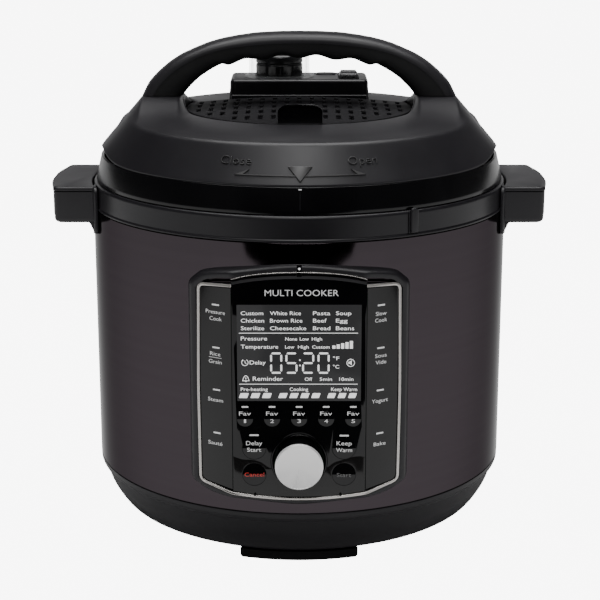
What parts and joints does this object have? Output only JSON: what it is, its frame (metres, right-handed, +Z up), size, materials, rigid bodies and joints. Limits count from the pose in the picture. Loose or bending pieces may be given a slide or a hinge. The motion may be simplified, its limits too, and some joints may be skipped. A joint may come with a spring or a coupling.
{
  "type": "electric pressure cooker",
  "caption": "Countertop electric pressure cooker with a locking domed lid, arched carry handle, side handles and a front panel with a dial, keys and display.",
  "frame": {"origin": "on the pot's upright axis, at the surface the feet stand on", "axes": "+Z up, -Y towards the control panel (front), +X to the user's right when facing the panel"},
  "size_m": [0.327, 0.302, 0.3222],
  "materials": {
    "black_plastic": "satin moulded, fine spark texture",
    "gloss_black": "polished black",
    "black_steel": "dark tinted stainless, satin",
    "steel": "brushed",
    "aluminium": "satin",
    "spun_aluminium": "spun radial brush, bright chamfer",
    "silver_trim": "silver metallised",
    "rubber": "matte",
    "silicone": "translucent milky",
    "clear_plastic": "clear polished",
    "circuit_board": "solder mask",
    "display": "lit segment display",
    "brass": "plated contact"
  },
  "bodies": {
    "base": {"base_tray": "black_plastic", "foot_front": "rubber", "foot_rear": "rubber", "foot_left": "rubber", "foot_right": "rubber", "outer_housing": "black_steel", "upper_collar": "black_plastic", "bayonet_ring": "steel", "heated_well": "aluminium", "heating_plate": "aluminium", "power_board": "circuit_board", "handle_right": "black_plastic", "handle_cap_right": "black_plastic", "handle_left": "black_plastic", "handle_cap_left": "black_plastic", "panel_bezel": "black_plastic", "panel_trim": "silver_trim", "panel_lens": "gloss_black", "side_strip_left": "gloss_black", "side_strip_right": "gloss_black", "display_module": "display", "control_board": "circuit_board", "knob_ring": "gloss_black", "knob_encoder": "steel", "inlet_socket": "black_plastic", "inlet_pin_live": "brass", "inlet_pin_neutral": "brass", "inlet_pin_earth": "brass", "collector_holder": "black_plastic"},
    "sensor": {"temperature_sensor": "aluminium"},
    "pot": {"inner_pot": "steel"},
    "gasket": {"sealing_ring": "silicone"},
    "diffuser": {"steam_diffuser": "black_plastic"},
    "release_valve": {"steam_release_valve": "black_plastic"},
    "float": {"float_valve": "steel"},
    "vent_button": {"vent_slide_button": "gloss_black"},
    "knob_rotor": {"knob_rotor": "brass"},
    "knob": {"knob": "spun_aluminium"},
    "collector": {"condensation_collector": "clear_plastic"},
    "lid": {"lid_plate": "steel", "gasket_rack": "steel", "anti_block_shield": "steel", "lid_cover": "black_plastic", "valve_block": "black_plastic", "clear_valve_guard": "clear_plastic", "steam_pipe": "steel", "handle_top": "black_plastic", "handle_grip": "black_plastic"},
    "key_fav_1": {"key_fav_1": "gloss_black"},
    "key_fav_2": {"key_fav_2": "gloss_black"},
    "key_fav_3": {"key_fav_3": "gloss_black"},
    "key_fav_4": {"key_fav_4": "gloss_black"},
    "key_fav_5": {"key_fav_5": "gloss_black"},
    "key_delay_start": {"key_delay_start": "gloss_black"},
    "key_keep_warm": {"key_keep_warm": "gloss_black"},
    "key_cancel": {"key_cancel": "gloss_black"},
    "key_start": {"key_start": "gloss_black"}
  },
  "joints": [
    {"name": "pot_lift", "type": "slide", "parent": "base", "child": "pot", "axis": [0, 0, 1], "range_m": [0, 0.18]},
    {"name": "lid_lift", "type": "slide", "parent": "pot", "child": "gasket", "axis": [0, 0, 1], "range_m": [0, 0.15]},
    {"name": "lid_turn", "type": "hinge", "parent": "gasket", "child": "lid", "pos_m": [0, 0, 0.24], "axis": [0, 0, 1], "range_deg": [0, 30]},
    {"name": "diffuser_tilt", "type": "hinge", "parent": "lid", "child": "diffuser", "pos_m": [0, 0.0212, 0.2706], "axis": [-1, 0, 0], "range_deg": [0, 12]},
    {"name": "vent_slide", "type": "slide", "parent": "lid", "child": "vent_button", "axis": [0, 1, 0], "range_m": [0, 0.012]},
    {"name": "valve_lift", "type": "slide", "parent": "lid", "child": "release_valve", "axis": [0, 0, 1], "range_m": [0, 0.0024]},
    {"name": "float_rise", "type": "slide", "parent": "lid", "child": "float", "axis": [0, 0, 1], "range_m": [0, 0.003]},
    {"name": "sensor_press", "type": "slide", "parent": "base", "child": "sensor", "axis": [0, 0, -1], "range_m": [0, 0.003], "stiffness_N_per_m": 800, "springref_m": -0.001},
    {"name": "knob_turn", "type": "hinge", "parent": "base", "child": "knob_rotor", "pos_m": [0, -0.14, 0.0754], "axis": [0, -1, 0], "continuous": true},
    {"name": "knob_push", "type": "slide", "parent": "knob_rotor", "child": "knob", "axis": [0, 1, 0], "range_m": [0, 0.0012], "stiffness_N_per_m": 600, "springref_m": -0.001},
    {"name": "collector_slide", "type": "slide", "parent": "base", "child": "collector", "axis": [0, 1, 0], "range_m": [0, 0.04]},
    {"name": "key_fav_1_press", "type": "slide", "parent": "base", "child": "key_fav_1", "axis": [0, 1, 0], "range_m": [0, 0.0005], "stiffness_N_per_m": 400, "springref_m": -0.0005},
    {"name": "key_fav_2_press", "type": "slide", "parent": "base", "child": "key_fav_2", "axis": [0, 1, 0], "range_m": [0, 0.0005], "stiffness_N_per_m": 400, "springref_m": -0.0005},
    {"name": "key_fav_3_press", "type": "slide", "parent": "base", "child": "key_fav_3", "axis": [0, 1, 0], "range_m": [0, 0.0005], "stiffness_N_per_m": 400, "springref_m": -0.0005},
    {"name": "key_fav_4_press", "type": "slide", "parent": "base", "child": "key_fav_4", "axis": [0, 1, 0], "range_m": [0, 0.0005], "stiffness_N_per_m": 400, "springref_m": -0.0005},
    {"name": "key_fav_5_press", "type": "slide", "parent": "base", "child": "key_fav_5", "axis": [0, 1, 0], "range_m": [0, 0.0005], "stiffness_N_per_m": 400, "springref_m": -0.0005},
    {"name": "key_delay_start_press", "type": "slide", "parent": "base", "child": "key_delay_start", "axis": [0, 1, 0], "range_m": [0, 0.0005], "stiffness_N_per_m": 400, "springref_m": -0.0005},
    {"name": "key_keep_warm_press", "type": "slide", "parent": "base", "child": "key_keep_warm", "axis": [0, 1, 0], "range_m": [0, 0.0005], "stiffness_N_per_m": 400, "springref_m": -0.0005},
    {"name": "key_cancel_press", "type": "slide", "parent": "base", "child": "key_cancel", "axis": [0, 1, 0], "range_m": [0, 0.0005], "stiffness_N_per_m": 400, "springref_m": -0.0005},
    {"name": "key_start_press", "type": "slide", "parent": "base", "child": "key_start", "axis": [0, 1, 0], "range_m": [0, 0.0005], "stiffness_N_per_m": 400, "springref_m": -0.0005}
  ],
  "couplings": [
    {"joint": "valve_lift", "follows": "vent_slide", "ratio": 0.2}
  ]
}
